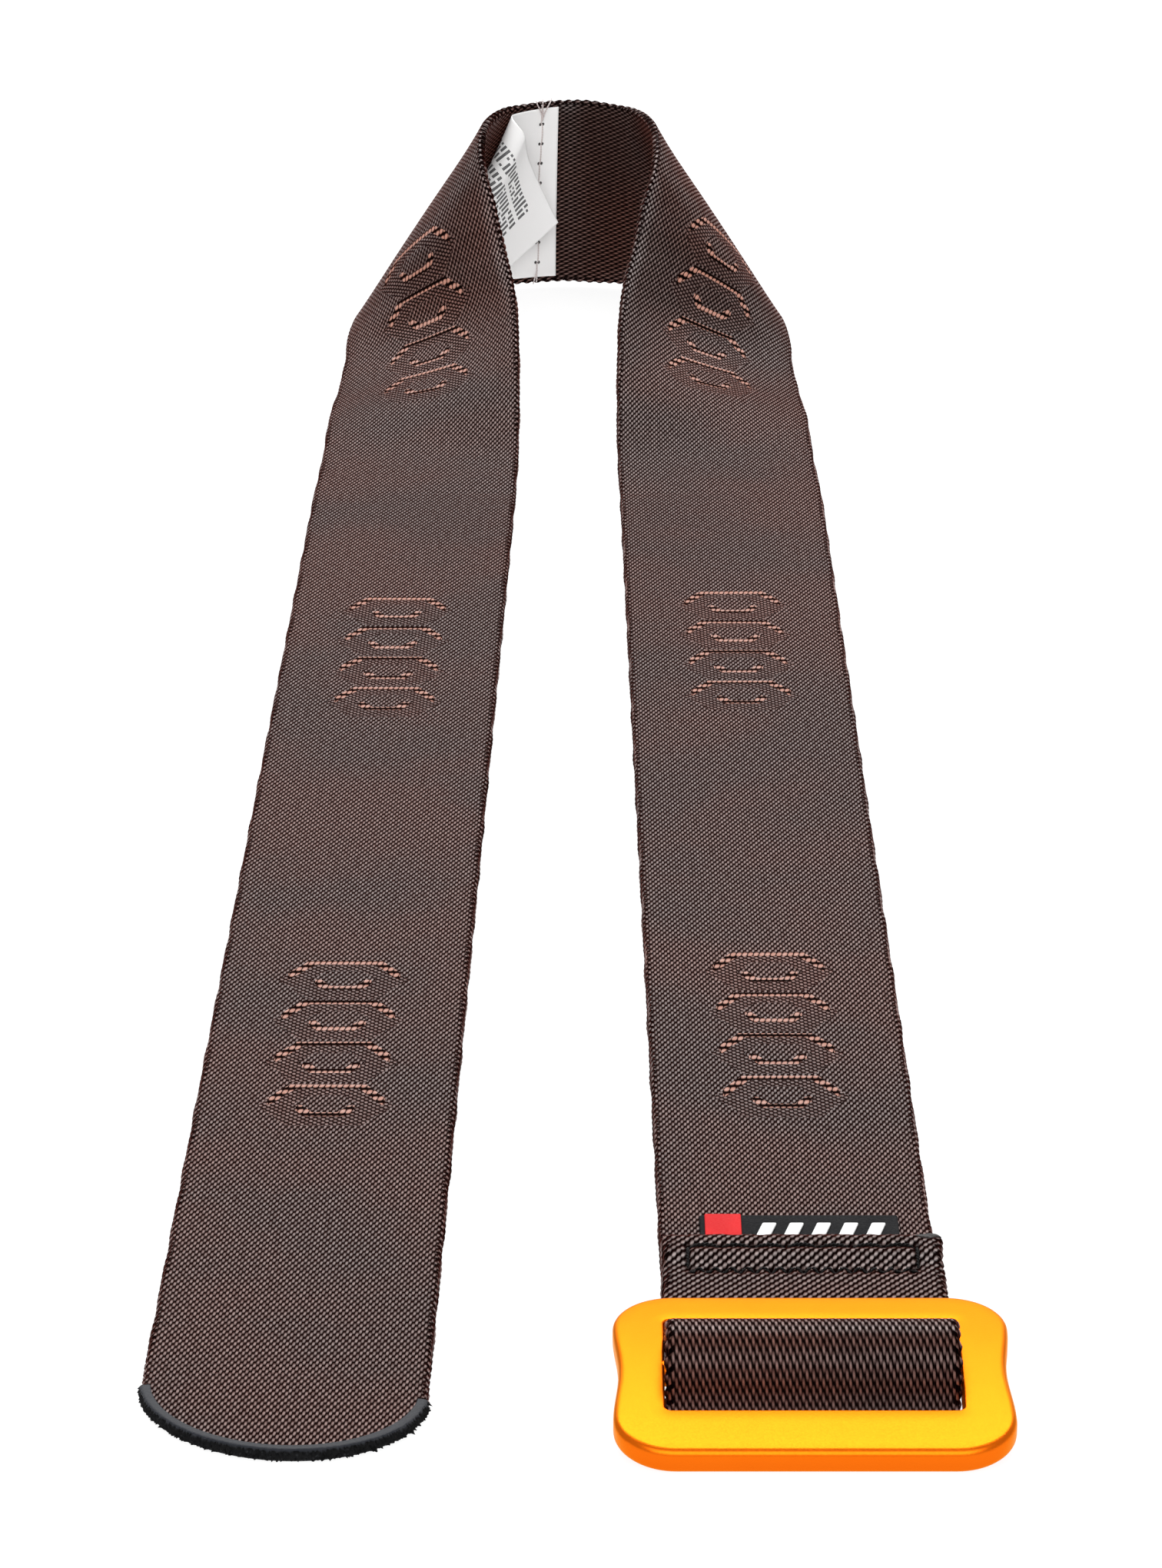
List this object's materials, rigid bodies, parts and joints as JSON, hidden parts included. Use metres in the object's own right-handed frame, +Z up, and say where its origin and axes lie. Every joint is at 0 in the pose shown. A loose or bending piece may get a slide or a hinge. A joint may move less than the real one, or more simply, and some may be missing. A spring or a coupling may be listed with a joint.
{
  "type": "webbing belt",
  "caption": "Woven webbing belt laid in a long loop, with a gold anodised frame buckle, sewn end loop, rounded sealed tongue and sewn-in labels.",
  "frame": {"origin": "middle of the base of the whole belt as it lies", "axes": "+Z up, +Y from the two front ends to the back bend, +X from the tongue's leg to the buckle's leg"},
  "size_m": [0.1132, 0.5663, 0.039],
  "materials": {
    "webbing": "brown twill webbing with a soft pinkish sheen",
    "edge_seal": "dark grey rubbery edge seal, slightly rough",
    "gold_anodised": "satin gold-orange anodised aluminium",
    "black_thread": "twisted black sewing thread",
    "tab_rubber": "matt black rubber",
    "red_rubber": "matt red rubber",
    "white_rubber": "matt white rubber",
    "satin_label": "white satin ribbon",
    "grey_thread": "thin light grey thread"
  },
  "bodies": {
    "strap_body": {"strap": "webbing", "tongue_edge_seal": "edge_seal", "flap_front_stitch_row": "black_thread", "flap_zigzag_stitch_row": "black_thread", "tab_label": "tab_rubber", "tab_end_patch": "red_rubber", "tab_bar_1": "white_rubber", "tab_bar_2": "white_rubber", "tab_bar_3": "white_rubber", "tab_bar_4": "white_rubber", "tab_bar_5": "white_rubber", "care_label": "satin_label", "care_label_thread": "grey_thread"},
    "buckle_body": {"buckle_frame": "gold_anodised"}
  },
  "joints": [
    {"name": "buckle_turn", "type": "hinge", "parent": "strap_body", "child": "buckle_body", "pos_m": [0.03081, -0.26296, 0.00452], "axis": [1, 0, 0], "range_deg": [0, 125]}
  ]
}
